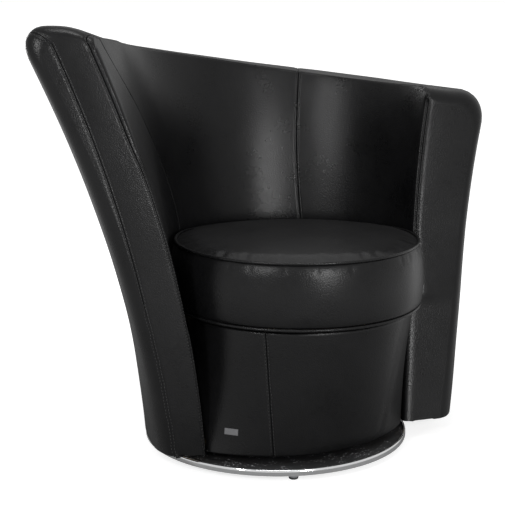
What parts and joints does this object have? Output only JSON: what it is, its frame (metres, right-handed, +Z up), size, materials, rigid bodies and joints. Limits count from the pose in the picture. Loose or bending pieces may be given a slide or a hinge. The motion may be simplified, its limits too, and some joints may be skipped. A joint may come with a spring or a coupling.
{
  "type": "leather armchair",
  "caption": "Swivel tub chair in black leather: a curved upholstered wall with one high flared wing, a round seat and a round plate base.",
  "frame": {"origin": "on the floor, on the swivel axis at the centre of the round base plate", "axes": "+Z up along the swivel axis, -Y towards the open front of the chair, +X towards the low wing"},
  "size_m": [0.9639, 0.7447, 0.9187],
  "materials": {
    "black_metal": "black textured powder coat with a fine speckle",
    "polished_steel": "polished",
    "bearing_steel": "ground and greased",
    "zinc_steel": "zinc plated",
    "glide_plastic": "moulded, matt",
    "bearing_plastic": "natural nylon, matt",
    "plywood": "raw birch plywood",
    "hardboard": "raw bending board",
    "dust_cloth": "black non-woven cloth",
    "webbing": "woven elastic webbing",
    "foam": "open-cell cut foam",
    "leather": "black, fine pebble grain with a soft sheen",
    "tag_metal": "satin, left blank"
  },
  "bodies": {
    "base": {"base_plate": "black_metal", "rim_ring": "polished_steel", "glides": "glide_plastic", "glide_screws": "zinc_steel", "lower_race": "bearing_steel", "lower_race_screws": "zinc_steel", "pivot_bolt": "zinc_steel", "jam_nut": "zinc_steel", "pivot_washer": "zinc_steel", "pivot_nut": "zinc_steel"},
    "ball_ring": {"ball_cage": "bearing_plastic", "bearing_balls": "bearing_steel"},
    "chair": {"upper_race": "bearing_steel", "upper_race_screws": "zinc_steel", "hoop_screws": "zinc_steel", "pivot_bush": "bearing_plastic", "bottom_board": "plywood", "hoop_post_1": "plywood", "hoop_post_2": "plywood", "hoop_post_3": "plywood", "hoop_post_4": "plywood", "seat_hoop": "plywood", "rib_1": "plywood", "rib_2": "plywood", "rib_3": "plywood", "rib_4": "plywood", "rib_5": "plywood", "rib_6": "plywood", "rib_7": "plywood", "rib_8": "plywood", "top_rail": "plywood", "apron_panel": "hardboard", "inner_panel": "hardboard", "outer_panel": "hardboard", "dust_cover": "dust_cloth", "seat_base_cloth": "dust_cloth", "webbing_lengthwise": "webbing", "webbing_crosswise": "webbing", "apron_foam": "foam", "inner_foam": "foam", "outer_foam": "foam", "high_wing_front_foam": "foam", "low_wing_front_foam": "foam", "seat_foam": "foam", "apron_cover_left": "leather", "apron_cover_right": "leather", "inner_cover_left": "leather", "inner_cover_right": "leather", "inner_wing_cover": "leather", "inner_wing_lower": "leather", "high_wing_front_cover": "leather", "low_wing_front_cover": "leather", "outer_cover_left": "leather", "outer_cover_right": "leather", "seat_cover_top": "leather", "seat_band": "leather", "seat_piping_upper": "leather", "seat_piping_lower": "leather", "tag_plate": "tag_metal", "tag_pins": "tag_metal"}
  },
  "joints": [
    {"name": "swivel", "type": "hinge", "parent": "base", "child": "chair", "pos_m": [0, 0, 0], "axis": [0, 0, 1], "continuous": true},
    {"name": "ball_orbit", "type": "hinge", "parent": "base", "child": "ball_ring", "pos_m": [0, 0, 0], "axis": [0, 0, 1], "continuous": true}
  ],
  "couplings": [
    {"joint": "ball_orbit", "follows": "swivel", "ratio": 0.5}
  ]
}
